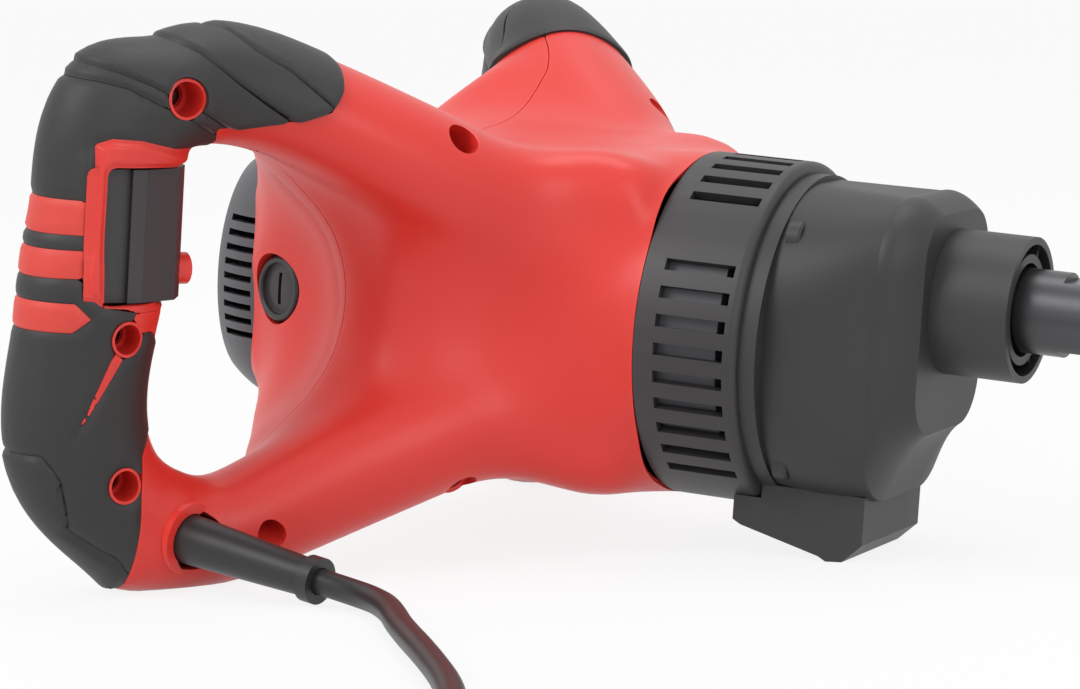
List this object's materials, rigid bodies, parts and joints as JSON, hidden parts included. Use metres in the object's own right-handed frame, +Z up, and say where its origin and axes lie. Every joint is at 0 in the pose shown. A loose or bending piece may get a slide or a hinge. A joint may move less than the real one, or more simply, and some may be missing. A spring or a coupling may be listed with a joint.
{
  "type": "mixing drill",
  "caption": "Two-handled electric mixing drill with a geared, threaded spindle, trigger, speed dial and mains cord, laid on its handle corners and foot.",
  "frame": {"origin": "middle of the drill's bounding box, without the cord, on the plane it rests on", "axes": "+X towards the spindle, +Y to the left handle, +Z up from the plane it lies on"},
  "size_m": [0.3476, 0.7694, 0.1924],
  "materials": {
    "housing_red": "satin moulded",
    "band_red": "satin moulded",
    "dial_red": "satin moulded",
    "rubber_black": "soft matte",
    "plastic_dark": "fine grain",
    "shroud_grey": "fine grain",
    "trigger_black": "satin",
    "gearbox_black": "satin powder coat",
    "cast_aluminium": "as cast",
    "steel": "turned",
    "bronze": "sintered",
    "core_steel": "laminated",
    "copper": "enamelled",
    "carbon": "pressed",
    "cord_rubber": "matte",
    "tie_fabric": "woven",
    "pin_metal": "plated"
  },
  "bodies": {
    "root": {"front_housing": "housing_red", "rear_housing": "housing_red", "rear_vent_cap": "plastic_dark", "vent_ring": "plastic_dark", "fan_shroud": "shroud_grey", "gearbox_housing": "gearbox_black", "bearing_plate": "cast_aluminium", "spindle_collar": "gearbox_black", "gearbox_foot": "gearbox_black", "right_arm_pad": "rubber_black", "left_arm_pad": "rubber_black", "right_grip_sleeve": "rubber_black", "left_grip_sleeve": "rubber_black", "right_corner_bumper": "rubber_black", "left_corner_bumper": "rubber_black", "right_grip_bands": "band_red", "left_grip_bands": "band_red", "trigger_bezel": "housing_red", "stator_core": "core_steel", "field_windings": "copper", "front_motor_bearing": "steel", "rear_motor_bearing": "steel", "right_brush_cap": "plastic_dark", "left_brush_cap": "plastic_dark", "right_brush_holder": "plastic_dark", "left_brush_holder": "plastic_dark", "right_carbon_brush": "carbon", "left_carbon_brush": "carbon", "right_brush_spring": "steel", "left_brush_spring": "steel", "lay_shaft_bush": "bronze", "spindle_bush": "bronze", "spindle_bearing": "steel", "cord_boss": "housing_red", "cord_guard": "cord_rubber", "cord": "cord_rubber", "cord_coil": "cord_rubber", "cord_tail": "cord_rubber", "cord_tie": "tie_fabric", "plug": "cord_rubber", "plug_pins": "pin_metal"},
    "spindle": {"spindle": "steel", "spindle_wheel": "steel"},
    "lay_shaft": {"lay_shaft": "steel", "lay_wheel": "steel"},
    "armature": {"armature_shaft": "steel", "armature_core": "core_steel", "armature_coils": "copper", "commutator": "copper", "cooling_fan": "plastic_dark"},
    "trigger": {"trigger": "trigger_black"},
    "speed_dial": {"speed_dial": "dial_red"}
  },
  "joints": [
    {"name": "spindle_spin", "type": "hinge", "parent": "root", "child": "spindle", "pos_m": [0.11471, 0, 0.08882], "axis": [0.9952, 0, -0.0981], "continuous": true},
    {"name": "lay_shaft_spin", "type": "hinge", "parent": "root", "child": "lay_shaft", "pos_m": [0.07207, 0.02275, 0.06402], "axis": [0.9952, 0, -0.0981], "continuous": true},
    {"name": "armature_spin", "type": "hinge", "parent": "root", "child": "armature", "pos_m": [0.01337, 0, 0.08022], "axis": [0.9952, 0, -0.0981], "continuous": true},
    {"name": "trigger_pull", "type": "slide", "parent": "root", "child": "trigger", "axis": [-0.542, -0.8387, 0.0534], "range_m": [0, 0.007], "stiffness_N_per_m": 800, "springref_m": -0.003},
    {"name": "speed_dial_turn", "type": "hinge", "parent": "trigger", "child": "speed_dial", "pos_m": [-0.12051, -0.14107, 0.1105], "axis": [-0.542, -0.8387, 0.0534], "range_deg": [0, 300]}
  ],
  "couplings": [
    {"joint": "lay_shaft_spin", "follows": "spindle_spin", "ratio": -4.25},
    {"joint": "armature_spin", "follows": "spindle_spin", "ratio": 22.312}
  ]
}
